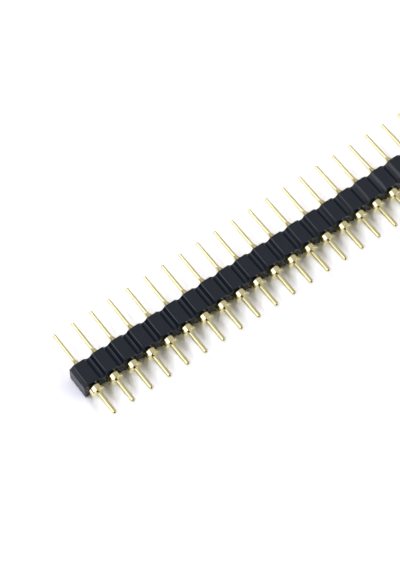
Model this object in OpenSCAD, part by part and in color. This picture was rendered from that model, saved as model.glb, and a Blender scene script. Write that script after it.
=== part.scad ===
// Break-off strip of turned, gold-plated pins in one moulded insulator.
//
// The strip lies flat: X runs along the row of pins, +Y is the side of the
// solder tails, -Y the side of the collars and contacts, and Z = 0 is the
// surface that the moulding rests on. The origin is under the middle of the
// overall box.

/* [Strip] */
// Number of pin positions
positions = 40; // [2:1:50]
// Distance from one pin to the next
pitch = 2.54; // [2.3:0.01:3.5]

/* [Insulator] */
// Height of the moulding over its flats
body_h = 2.54; // [2.1:0.02:4]
// Depth of the moulding, along the pins
body_depth = 3.0; // [1.6:0.1:6]
// Depth of a break-off notch
notch_depth = 0.4; // [0.1:0.02:0.55]
// Width of a notch at the surface
notch_mouth = 1.12; // [0.7:0.02:1.5]
// Width of a notch at its flat floor
notch_floor = 0.3; // [0.1:0.02:0.6]

/* [Shank] */
// Diameter of the shank that fills the bore
shank_d = 1.3; // [0.9:0.02:1.5]
// Height of the retention barb above the shank
barb_rise = 0.05; // [0.02:0.01:0.1]
// Length of the barb, from its step to its thin end
barb_len = 0.6; // [0.2:0.05:0.8]
// Distance from the back of the moulding to the thin end of the barb
barb_setback = 0.7; // [0.2:0.05:0.8]

/* [Tail] */
// Diameter of the solder tail
tail_d = 0.5; // [0.3:0.02:0.8]
// Length of the tail side, from the back of the moulding to the tip
tail_len = 5.1; // [2.5:0.1:12]
// Length of the cone between shank and tail
cone_len = 1.0; // [0.2:0.05:2]

/* [Collar and contact] */
// Diameter of the collar that stops the pin against the moulding
collar_d = 1.72; // [1.6:0.02:2.2]
// Length of the collar
collar_len = 0.95; // [0.3:0.05:3]
// Break on the collar's outer edges
collar_edge = 0.04; // [0.01:0.01:0.1]
// Diameter of the contact
contact_d = 0.62; // [0.4:0.02:1]
// Length of the contact, from the collar to the tip
contact_len = 3.2; // [1:0.1:10]
// Chamfer at the tip of the contact
contact_chamfer = 0.12; // [0.02:0.01:0.18]

/* [Hidden] */
$fn = 64;

// How far a cutting tool reaches past the faces that it opens
clear = 1;

strip_len = positions * pitch;
pin_len = tail_len + body_depth + collar_len + contact_len;

// The pins' axes, and the two faces of the moulding that they pass through
axis_z = body_h / 2;
back_y = pin_len / 2 - tail_len;

shank_r = shank_d / 2;
barb_r = shank_r + barb_rise;
tail_r = tail_d / 2;
collar_r = collar_d / 2;
contact_r = contact_d / 2;

// Along a pin, z = 0 is the back of the moulding and +z leads to the tail
front_z = -body_depth;
collar_z = front_z - collar_len;
contact_z = collar_z - contact_len;
barb_z = -barb_setback;

flat_reach = (pitch - notch_mouth) / 2;
slope_reach = (pitch - notch_floor) / 2;

function two_digits(i) = str(i < 10 ? "0" : "", i);
function pin_name(i) = str("pin_", two_digits(i));
function pin_x(i) = (i - (positions + 1) / 2) * pitch;

// ---------------------------------------------------------------- insulator

// Upper edge of the moulding from -X to +X, for a face at height top
function upper_edge(top) = concat(
    [[-strip_len / 2, top - notch_depth]],
    [for (i = [1:positions], p = [[-slope_reach, notch_depth], [-flat_reach, 0],
                                  [flat_reach, 0], [slope_reach, notch_depth]])
        [pin_x(i) + p[0], top - p[1]]],
    [[strip_len / 2, top - notch_depth]]);

// Section of the moulding across the pins. The lower edge mirrors the upper one
// between the segments, and runs straight out to the two end faces.
module moulding_section() {
    upper = upper_edge(body_h / 2);
    last = len(upper) - 1;
    polygon(concat(
        upper,
        [[strip_len / 2, -body_h / 2]],
        [for (k = [3:last - 3]) [upper[last - k][0], -upper[last - k][1]]],
        [[-strip_len / 2, -body_h / 2]]));
}

// What one pin takes out of the moulding: its shank and barb, run past both faces
module bore_tool() {
    rotate_extrude()
        polygon([
            [0, front_z - clear], [shank_r, front_z - clear],
            [shank_r, barb_z - barb_len], [barb_r, barb_z - barb_len], [shank_r, barb_z],
            [shank_r, clear], [0, clear],
        ]);
}

module insulator() {
    color([0.07, 0.08, 0.10])
        translate([0, back_y, axis_z])
            difference() {
                rotate([90, 0, 0])
                    linear_extrude(height = body_depth)
                        moulding_section();
                for (i = [1:positions])
                    translate([pin_x(i), 0, 0])
                        rotate([-90, 0, 0])
                            bore_tool();
            }
}

// --------------------------------------------------------------------- pins

// Half section of a turned pin, with its axis along the sheet's y
module pin_section() {
    polygon([
        // contact
        [0, contact_z], [contact_r - contact_chamfer, contact_z],
        [contact_r, contact_z + contact_chamfer], [contact_r, collar_z],
        // collar, seated against the front of the moulding
        [collar_r - collar_edge, collar_z], [collar_r, collar_z + collar_edge],
        [collar_r, front_z - collar_edge], [collar_r - collar_edge, front_z],
        // shank and barb
        [shank_r, front_z], [shank_r, barb_z - barb_len],
        [barb_r, barb_z - barb_len], [shank_r, barb_z], [shank_r, 0],
        // cone and tail, up to the centre of the round tip
        [tail_r, cone_len], [tail_r, tail_len - tail_r], [0, tail_len - tail_r],
    ]);
    translate([0, tail_len - tail_r])
        intersection() {
            circle(r = tail_r);
            square(tail_r);
        }
}

module turned_pin() {
    rotate([-90, 0, 0])
        rotate_extrude()
            pin_section();
}

module pin(i) {
    color([0.86, 0.77, 0.48])
        translate([pin_x(i), back_y, axis_z])
            turned_pin();
}

insulator();
for (i = [1:positions])
    pin(i);
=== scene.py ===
"""Looks of a break-off strip of turned, gold-plated pins in a black moulded insulator."""

import math

import bmesh
import bpy
from mathutils import Matrix, Vector


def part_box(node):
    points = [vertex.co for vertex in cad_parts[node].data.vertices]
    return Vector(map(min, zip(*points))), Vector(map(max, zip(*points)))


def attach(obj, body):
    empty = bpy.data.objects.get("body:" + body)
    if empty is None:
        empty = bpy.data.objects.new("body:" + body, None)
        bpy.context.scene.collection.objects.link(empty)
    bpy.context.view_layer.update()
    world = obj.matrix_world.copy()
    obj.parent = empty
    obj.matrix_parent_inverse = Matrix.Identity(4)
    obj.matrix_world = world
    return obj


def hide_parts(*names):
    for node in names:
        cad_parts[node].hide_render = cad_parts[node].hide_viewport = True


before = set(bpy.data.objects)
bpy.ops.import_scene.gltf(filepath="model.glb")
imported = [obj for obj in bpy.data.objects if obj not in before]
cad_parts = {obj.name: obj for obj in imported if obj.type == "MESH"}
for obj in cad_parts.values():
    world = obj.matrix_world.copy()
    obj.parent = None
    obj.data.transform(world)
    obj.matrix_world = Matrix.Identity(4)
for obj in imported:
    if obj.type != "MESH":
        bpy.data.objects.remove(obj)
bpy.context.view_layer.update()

MM = 0.001
TINY = 1e-7

# The strip lies along X, its tails point along +Y and its contacts along -Y.
# The moulding's box and the pins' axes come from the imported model.
moulding_low, moulding_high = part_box("insulator")
first_low, first_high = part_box("pin_01")
last_low, last_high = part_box("pin_40")
PIN_COUNT = sum(name.startswith("pin_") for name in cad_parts)
AXIS_Z = (first_low[2] + first_high[2]) / 2
FIRST_X = (first_low[0] + first_high[0]) / 2
PITCH = ((last_low[0] + last_high[0]) / 2 - FIRST_X) / (PIN_COUNT - 1)
BACK_Y = moulding_high[1]
FRONT_Y = moulding_low[1]
HALF_HEIGHT = (moulding_high[2] - moulding_low[2]) / 2

# Insulator: the notches between segments
NOTCH_DEPTH = 0.46 * MM
NOTCH_MOUTH = 1.12 * MM
NOTCH_FLOOR = 0.3 * MM
# What is left of a notch at the two ends: the slope's reach and depth, then a
# narrow ledge that rises a little towards the end face
END_BROW = 0.5 * MM
END_DEPTH = 0.333 * MM
END_LEDGE = 0.14 * MM
END_RIDGE = 0.05 * MM
# Its bores, and the roundings of its edges: square ones, a flat's and a notch's
BORE_R = 0.65 * MM
BORE_STEPS = 48
MOULD_EDGE = 0.045 * MM
MOULD_EDGE_STEPS = 3
BROW_EDGE = 0.09 * MM
NOTCH_EDGE = 0.07 * MM
NOTCH_EDGE_STEPS = 5
SQUARE_ANGLE = math.radians(60)
END_FACING = 0.99

# Turned pin
TAIL_R = 0.25 * MM
TAIL_TIP_Y = first_high[1]
TAIL_TIP_ROUND = 0.96 * TAIL_R
CONE_LENGTH = 1.0 * MM
CONE_EDGE = 0.06 * MM
COLLAR_R = 0.86 * MM
COLLAR_LENGTH = 0.95 * MM
COLLAR_EDGE = 0.04 * MM
SHANK_EDGE = 0.02 * MM
CONTACT_R = 0.31 * MM
CONTACT_TIP_Y = first_low[1]
CONTACT_CHAMFER = 0.12 * MM
CONTACT_TIP_EDGE = 0.03 * MM
CONTACT_SIDE_EDGE = 0.05 * MM
CONTACT_ROOT_EDGE = 0.02 * MM
TURNED_STEPS = 64
TURNED_EDGE_STEPS = 4

# Gold plate
GOLD = (0.78, 0.725, 0.445)
GOLD_PALE = (0.79, 0.735, 0.455)
GOLD_DEEP = (0.77, 0.70, 0.41)
GOLD_POLISH = 0.09
GOLD_SMUDGED = (0.10, 0.18)
TOOL_RINGS = 0.0011 * MM

# Black plastic: its roughness as moulded, and how much duller and less shiny it
# is on the broken ends and on the faces that the pins pass through
BLACK = (0.006, 0.012, 0.025)
BLACK_FLECK = (0.013, 0.019, 0.034)
BLACK_POLISH = 0.1
BLACK_CLOUDED = (0.07, 0.13)
END_DULLNESS = 0.28
FACE_DULLNESS = 0.04
MOULDED_SHINE = 0.40
FACE_SHINE = 0.24
GRAIN_HEIGHT = 0.0006 * MM
SINK_HEIGHT = 0.006 * MM

# Where most of a noise's values lie, and where a face points along an axis
NOISE_BAND = (0.35, 0.7)
ALONG_AXIS = (0.85, 0.95)


# -------------------------------------------------------------------- nodes

class Nodes:
    """A node tree on its way, for a material or for the room."""

    def __init__(self, owner):
        owner.use_nodes = True
        self.tree = owner.node_tree

    def add(self, kind, **settings):
        made = self.tree.nodes.new(kind)
        for name, value in settings.items():
            setattr(made, name, value)
        return made

    def link(self, source, target):
        self.tree.links.new(source, target)

    def combine(self, operation, *values):
        node = self.add("ShaderNodeMath", operation=operation)
        for value, socket in zip(values, node.inputs):
            self.link(value, socket)
        return node.outputs[0]

    def axes(self, direction):
        node = self.add("ShaderNodeSeparateXYZ")
        self.link(direction, node.inputs[0])
        return node.outputs

    def spread(self, value, seen, wanted, **settings):
        """A value that runs over one span, stretched to another."""
        node = self.add("ShaderNodeMapRange", **settings)
        for name, number in zip(("From Min", "From Max", "To Min", "To Max"), (*seen, *wanted)):
            node.inputs[name].default_value = number
        self.link(value, node.inputs["Value"])
        return node.outputs["Result"]

    def looked_at(self, *kinds):
        """1 for the kinds of ray that look at a surface, and 0 for the others."""
        path = self.add("ShaderNodeLightPath")
        seen = path.outputs[kinds[0]]
        for kind in kinds[1:]:
            seen = self.combine("MAXIMUM", seen, path.outputs[kind])
        return seen


class Finish(Nodes):
    """A material of the part: one shader, and the textures that feed it in the part's own frame."""

    def __init__(self, name, base, metallic, roughness):
        self.material = bpy.data.materials.new(name)
        super().__init__(self.material)
        self.shader = self.tree.nodes["Principled BSDF"].inputs
        self.shader["Base Color"].default_value = (*base, 1)
        self.shader["Metallic"].default_value = metallic
        self.shader["Roughness"].default_value = roughness
        frame_of_part = self.add("ShaderNodeTexCoord").outputs
        self.place, self.facing = frame_of_part["Object"], frame_of_part["Normal"]

    def noise(self, per_mm, detail=2.0, roughness=0.5):
        """Noise with so many cells to the millimetre along X, Y and Z."""
        mapping = self.add("ShaderNodeMapping")
        mapping.inputs["Scale"].default_value = [n / MM for n in per_mm]
        texture = self.add("ShaderNodeTexNoise")
        for name, number in (("Scale", 1.0), ("Detail", detail), ("Roughness", roughness)):
            texture.inputs[name].default_value = number
        self.link(self.place, mapping.inputs["Vector"])
        self.link(mapping.outputs["Vector"], texture.inputs["Vector"])
        return texture.outputs["Fac"]

    def tint(self, value, seen, colours):
        """Base colour that runs from one colour to another with a texture."""
        ramp = self.add("ShaderNodeValToRGB")
        for stop, position, colour in zip(ramp.color_ramp.elements, seen, colours):
            stop.position = position
            stop.color = (*colour, 1)
        self.link(value, ramp.inputs["Fac"])
        self.link(ramp.outputs["Color"], self.shader["Base Color"])

    def relief(self, value, height, over=None):
        """Relief of that height in metres, on top of another relief."""
        node = self.add("ShaderNodeBump")
        node.inputs["Strength"].default_value = 1.0
        node.inputs["Distance"].default_value = height
        self.link(value, node.inputs["Height"])
        if over is not None:
            self.link(over, node.inputs["Normal"])
        return node.outputs["Normal"]


# ---------------------------------------------------------------- materials

def gold_plate():
    """Bright pale gold over turned brass: fine rings from the tool, and a little handling."""
    gold = Finish("gold_plate", GOLD, 1.0, GOLD_POLISH)
    rings = gold.noise((0.05, 14, 0.05), detail=3)
    patches = gold.noise((0.8, 0.35, 0.8), detail=2)
    gold.tint(patches, (0.35, 0.68), (GOLD_PALE, GOLD_DEEP))
    smudges = gold.noise((2.2, 1.1, 2.2), detail=3)
    gold.link(gold.spread(smudges, NOISE_BAND, GOLD_SMUDGED), gold.shader["Roughness"])
    gold.link(gold.relief(rings, TOOL_RINGS), gold.shader["Normal"])
    return gold.material


def black_moulding():
    """Black glass-filled plastic: glossy from the mould, dull where the strip was broken off."""
    black = Finish("black_moulding", BLACK, 0.0, BLACK_POLISH)
    black.shader["Specular IOR Level"].default_value = MOULDED_SHINE
    flecks = black.noise((9, 5, 9), detail=4, roughness=0.6)
    black.tint(flecks, (0.42, 0.74), (BLACK, BLACK_FLECK))
    axes = black.axes(black.facing)
    to_end, to_pin_side = (black.combine("ABSOLUTE", axes[axis]) for axis in "XY")
    cloud = black.noise((1.1, 0.5, 1.1), detail=3)
    dullness = black.spread(cloud, NOISE_BAND, BLACK_CLOUDED)
    for along, more in ((to_end, END_DULLNESS), (to_pin_side, FACE_DULLNESS)):
        dullness = black.combine("ADD", dullness, black.spread(along, ALONG_AXIS, (0, more)))
    black.link(dullness, black.shader["Roughness"])
    shine = black.spread(to_pin_side, ALONG_AXIS, (MOULDED_SHINE, FACE_SHINE))
    black.link(shine, black.shader["Specular IOR Level"])
    grain = black.noise((22, 22, 22), detail=3, roughness=0.55)
    sink = black.noise((0.45, 0.3, 0.45), detail=1)
    relief = black.relief(grain, GRAIN_HEIGHT, over=black.relief(sink, SINK_HEIGHT))
    black.link(relief, black.shader["Normal"])
    return black.material


# ------------------------------------------------------------------- pieces

def mesh_from(bm, name):
    mesh = bpy.data.meshes.new(name)
    bm.to_mesh(mesh)
    bm.free()
    return mesh


def piece_of(mesh, name, material, cad_node):
    """A smooth-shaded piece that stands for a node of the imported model."""
    mesh.polygons.foreach_set("use_smooth", [True] * len(mesh.polygons))
    mesh.materials.append(material)
    piece = bpy.data.objects.new(name, mesh)
    bpy.context.scene.collection.objects.link(piece)
    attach(piece, "root")
    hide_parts(cad_node)
    return piece


def keep_flats_flat(piece):
    """Small roundings take the bend in the shading, and the large faces stay true."""
    weighted = piece.modifiers.new("true_faces", "WEIGHTED_NORMAL")
    weighted.mode = "FACE_AREA"
    weighted.weight = 100
    weighted.keep_sharp = True


def edged(bm, points):
    """Corners joined one to the next by edges."""
    corners = [bm.verts.new(point) for point in points]
    for a, b in zip(corners, corners[1:]):
        bm.edges.new((a, b))
    return corners


def round_corners(bm, corners, rounding, steps):
    bmesh.ops.bevel(bm, geom=corners, offset=rounding, offset_type="OFFSET", segments=steps,
                    profile=0.5, affect="VERTICES", material=-1)


def sort_faces(bm):
    """A spin leaves its faces in a new order each run, so they are put in that of their corners."""
    bm.verts.index_update()
    count = len(bm.verts)

    def by_corners(face):
        key = 0
        for corner in sorted(v.index for v in face.verts):
            key = key * count + corner
        return key

    bm.faces.sort(key=by_corners)


def moulding_outline():
    """Section of the moulding across the pins, once round, with the first pin's axis at 0."""
    flat_reach, slope_reach = (PITCH - NOTCH_MOUTH) / 2, (PITCH - NOTCH_FLOOR) / 2
    end_x, notch_z = PITCH / 2, HALF_HEIGHT - NOTCH_DEPTH
    far_x, ledge_z = (PIN_COUNT - 1) * PITCH, HALF_HEIGHT - END_DEPTH
    upper = [(-end_x, ledge_z + END_RIDGE), (END_LEDGE - end_x, ledge_z),
             (END_BROW - end_x, HALF_HEIGHT)]
    for x in (i * PITCH for i in range(1, PIN_COUNT)):
        upper += [(x - PITCH + flat_reach, HALF_HEIGHT), (x - PITCH + slope_reach, notch_z),
                  (x - slope_reach, notch_z), (x - flat_reach, HALF_HEIGHT)]
    upper += [(far_x - x, z) for x, z in upper[2::-1]]
    # the lower edge mirrors the upper one, but the two ends are plain beneath
    lower = [(x, -z) for x, z in upper[-4:2:-1]]
    return upper + [(far_x + end_x, -HALF_HEIGHT), *lower, (-end_x, -HALF_HEIGHT)]


def make_moulding(material):
    bm = bmesh.new()
    ring = edged(bm, ((x, 0, z) for x, z in moulding_outline()))
    bm.edges.new((ring[-1], ring[0]))
    ends = ring[0].co.x, ring[0].co.x + PIN_COUNT * PITCH
    corners = [v for v in ring if min(abs(v.co.x - x) for x in ends) > TINY]
    brows = [v for v in corners if abs(v.co.z) > HALF_HEIGHT - TINY]
    feet = [v for v in corners if abs(v.co.z) < HALF_HEIGHT - TINY]
    round_corners(bm, brows, BROW_EDGE, NOTCH_EDGE_STEPS)
    round_corners(bm, feet, NOTCH_EDGE, NOTCH_EDGE_STEPS)
    upright = Matrix.Rotation(math.radians(90), 4, "X")
    for i in range(PIN_COUNT):
        bore = Matrix.Translation((i * PITCH, 0, 0)) @ upright
        bmesh.ops.create_circle(bm, segments=BORE_STEPS, radius=BORE_R, matrix=bore)
    bmesh.ops.triangle_fill(bm, edges=bm.edges[:], use_beauty=True)
    made = bmesh.ops.extrude_face_region(bm, geom=bm.faces[:])
    bmesh.ops.translate(bm, vec=(0, FRONT_Y - BACK_Y, 0),
                        verts=[g for g in made["geom"] if isinstance(g, bmesh.types.BMVert)])
    bmesh.ops.recalc_face_normals(bm, faces=bm.faces)
    # the edges round the two broken ends stay sharp, and the other square ones are rounded
    rounded = bm.edges.layers.float.new("bevel_weight_edge")
    for edge in bm.edges:
        broken = any(abs(face.normal.x) > END_FACING for face in edge.link_faces)
        edge[rounded] = edge.calc_face_angle(0) > SQUARE_ANGLE and not broken
        edge.smooth = not broken
    bmesh.ops.translate(bm, vec=(FIRST_X, BACK_Y, AXIS_Z), verts=bm.verts)
    name = "moulded_insulator"
    moulding = piece_of(mesh_from(bm, name), name, material, "insulator")
    edges = moulding.modifiers.new("moulded_edges", "BEVEL")
    edges.limit_method = "WEIGHT"
    edges.width = MOULD_EDGE
    edges.segments = MOULD_EDGE_STEPS
    edges.use_clamp_overlap = False
    keep_flats_flat(moulding)


def turned_pin_mesh():
    """One pin on the Y axis: half its section is spun round that axis."""
    bm = bmesh.new()
    collar_front = FRONT_Y - COLLAR_LENGTH
    # radius, place along the axis, and rounding of each corner, from the contact's tip
    outline = (
        (0, CONTACT_TIP_Y, 0),
        (CONTACT_R - CONTACT_CHAMFER, CONTACT_TIP_Y, CONTACT_TIP_EDGE),
        (CONTACT_R, CONTACT_TIP_Y + CONTACT_CHAMFER, CONTACT_SIDE_EDGE),
        (CONTACT_R, collar_front, CONTACT_ROOT_EDGE),
        (COLLAR_R, collar_front, COLLAR_EDGE),
        (COLLAR_R, FRONT_Y, COLLAR_EDGE),
        (BORE_R, FRONT_Y, 0),
        (BORE_R, BACK_Y, SHANK_EDGE),
        (TAIL_R, BACK_Y + CONE_LENGTH, CONE_EDGE),
        (TAIL_R, TAIL_TIP_Y, TAIL_TIP_ROUND),
        (0, TAIL_TIP_Y, 0),
    )
    corners = edged(bm, ((r, y, 0) for r, y, _ in outline))
    for corner, (_, _, rounding) in zip(corners, outline):
        if rounding:
            round_corners(bm, [corner], rounding, TURNED_EDGE_STEPS)
    bmesh.ops.spin(bm, geom=bm.verts[:] + bm.edges[:], cent=(0, 0, 0), axis=(0, 1, 0),
                   angle=2 * math.pi, steps=TURNED_STEPS, use_merge=True)
    bmesh.ops.remove_doubles(bm, verts=bm.verts, dist=TINY)
    bmesh.ops.recalc_face_normals(bm, faces=bm.faces)
    sort_faces(bm)
    return mesh_from(bm, "turned_pin")


def make_pins(material):
    master = turned_pin_mesh()
    for i in range(PIN_COUNT):
        mesh = master.copy()
        mesh.transform(Matrix.Translation((FIRST_X + i * PITCH, 0, AXIS_Z)))
        number = f"{i + 1:02d}"
        pin = piece_of(mesh, f"plated_pin_{number}", material, f"pin_{number}")
        keep_flats_flat(pin)


make_moulding(black_moulding())
make_pins(gold_plate())


# -------------------------------------------------------------------- stage

COOL_LIGHT = (0.97, 1.0, 1.06)
WARM_LIGHT = (1.0, 0.95, 0.88)
LAMP_AIM = Vector((-0.032, 0, 0))
LAMP_DISTANCE = 0.8

FLOOR_REACH = 0.5
FLOOR_PAPER = (0.92, 0.92, 0.92)
FLOOR_SHOWN = (1.72, 1.74, 1.91)

WALL_GLOW = 0.60
TENT_GLOW = 0.63
CAMERA_SIDE = Vector((-0.06, -0.74, 0.67)).normalized()

LENS = 116.73
SENSOR = 36
CAMERA_AZIMUTH = math.radians(37.66)
CAMERA_ELEVATION = math.radians(61.6)
CAMERA_ROLL = math.radians(1.11)
CAMERA_AIM = Vector((FIRST_X + 17.292 * MM, BACK_Y + 0.333 * MM, AXIS_Z))
CAMERA_DISTANCE = 213.786 * MM


def placed(side, up, back, spot):
    """Where a lamp or a camera stands, from its three directions."""
    place = Matrix((side, up, back)).transposed().to_4x4()
    place.translation = spot
    return place


def make_floor():
    """White paper. What looks at it straight, or in a mirror, sees it overexposed."""
    bm = bmesh.new()
    bmesh.ops.create_grid(bm, x_segments=1, y_segments=1, size=FLOOR_REACH)
    mesh = mesh_from(bm, "floor")
    material = bpy.data.materials.new("white_paper")
    paper = Nodes(material)
    paper.tree.nodes.clear()
    shade = paper.add("ShaderNodeMix", data_type="RGBA", clamp_result=False)
    shade.inputs["A"].default_value = (*FLOOR_PAPER, 1)
    shade.inputs["B"].default_value = (*FLOOR_SHOWN, 1)
    seen = paper.looked_at("Is Camera Ray", "Is Glossy Ray", "Is Transmission Ray")
    paper.link(seen, shade.inputs["Factor"])
    matt = paper.add("ShaderNodeBsdfDiffuse")
    paper.link(shade.outputs["Result"], matt.inputs["Color"])
    paper.link(matt.outputs[0], paper.add("ShaderNodeOutputMaterial").inputs["Surface"])
    mesh.materials.append(material)
    floor = bpy.data.objects.new("floor", mesh)
    bpy.context.scene.collection.objects.link(floor)


def softbox(name, azimuth, elevation, turn, width, height, radiance):
    """A rectangular lamp that faces the strip; radiance is how bright its face looks."""
    azimuth, elevation = math.radians(azimuth), math.radians(elevation)
    away = Vector((math.cos(elevation) * math.cos(azimuth),
                   math.cos(elevation) * math.sin(azimuth), math.sin(elevation)))
    level = Vector((-math.sin(azimuth), math.cos(azimuth), 0))
    side = Matrix.Rotation(math.radians(turn), 3, away) @ level
    lamp = bpy.data.lights.new(name, "AREA")
    lamp.shape = "RECTANGLE"
    lamp.size, lamp.size_y = width, height
    lamp.energy = radiance * math.pi * width * height
    lamp.color = COOL_LIGHT
    box = bpy.data.objects.new(name, lamp)
    box.matrix_world = placed(side, away.cross(side), away, LAMP_AIM + away * LAMP_DISTANCE)
    box.visible_camera = False
    bpy.context.scene.collection.objects.link(box)


def make_room():
    """Soft room light: pale low down, plainer overhead, and dark where the camera stands."""
    world = bpy.data.worlds.new("studio")
    bpy.context.scene.world = world
    room = Nodes(world)
    where = room.add("ShaderNodeTexCoord").outputs["Generated"]
    height = room.axes(where)["Z"]
    towards = room.add("ShaderNodeVectorMath", operation="DOT_PRODUCT")
    towards.inputs[1].default_value = CAMERA_SIDE
    room.link(where, towards.inputs[0])

    def ease(value, seen, wanted):
        return room.spread(value, seen, wanted, interpolation_type="SMOOTHSTEP")

    walls = ease(height, (0, 0.18), (WALL_GLOW, 0))
    tent = ease(towards.outputs["Value"], (0.52, 0.66), (TENT_GLOW, 0))
    tent = room.combine("MULTIPLY", tent, ease(height, (0.18, 0.32), (0, 1)))
    glow = room.tree.nodes["Background"]
    glow.inputs["Color"].default_value = (*WARM_LIGHT, 1)
    room.link(room.combine("MAXIMUM", walls, tent), glow.inputs["Strength"])
    # past the floor's edge the surroundings are as white as the floor looks
    ground = ease(height, (0, 0.02), (1, 0))
    mirrored = room.combine("MULTIPLY", room.looked_at("Is Glossy Ray"), ground)
    straight = room.looked_at("Is Camera Ray", "Is Transmission Ray")
    backdrop = room.add("ShaderNodeBackground")
    backdrop.inputs["Color"].default_value = (1, 1, 1, 1)
    either = room.add("ShaderNodeMixShader")
    room.link(room.combine("MAXIMUM", straight, mirrored), either.inputs["Fac"])
    room.link(glow.outputs[0], either.inputs[1])
    room.link(backdrop.outputs[0], either.inputs[2])
    room.link(either.outputs[0], room.tree.nodes["World Output"].inputs["Surface"])


def make_camera():
    """Above and in front of the near end, turned a little about its own axis."""
    azimuth, elevation, roll = CAMERA_AZIMUTH, CAMERA_ELEVATION, CAMERA_ROLL
    back = Vector((-math.sin(azimuth) * math.cos(elevation),
                   -math.cos(azimuth) * math.cos(elevation), math.sin(elevation)))
    level = Vector((math.cos(azimuth), -math.sin(azimuth), 0))
    above = back.cross(level)
    right = math.cos(roll) * level + math.sin(roll) * above
    up = -math.sin(roll) * level + math.cos(roll) * above
    lens = bpy.data.cameras.new("camera")
    lens.sensor_width = SENSOR
    lens.lens = LENS
    lens.clip_start = MM
    camera = bpy.data.objects.new("camera", lens)
    camera.matrix_world = placed(right, up, back, CAMERA_AIM + back * CAMERA_DISTANCE)
    bpy.context.scene.collection.objects.link(camera)
    bpy.context.scene.camera = camera


make_floor()
softbox("left_softbox", azimuth=149, elevation=41.5, turn=18,
        width=0.34, height=0.74, radiance=1.75)
softbox("back_softbox", azimuth=100, elevation=46, turn=-40,
        width=0.22, height=0.31, radiance=4.7)
softbox("front_strip_light", azimuth=-36, elevation=40, turn=10,
        width=1.10, height=0.10, radiance=6.8)
make_room()
make_camera()
bpy.context.scene.view_settings.view_transform = "Standard"

bpy.context.view_layer.update()
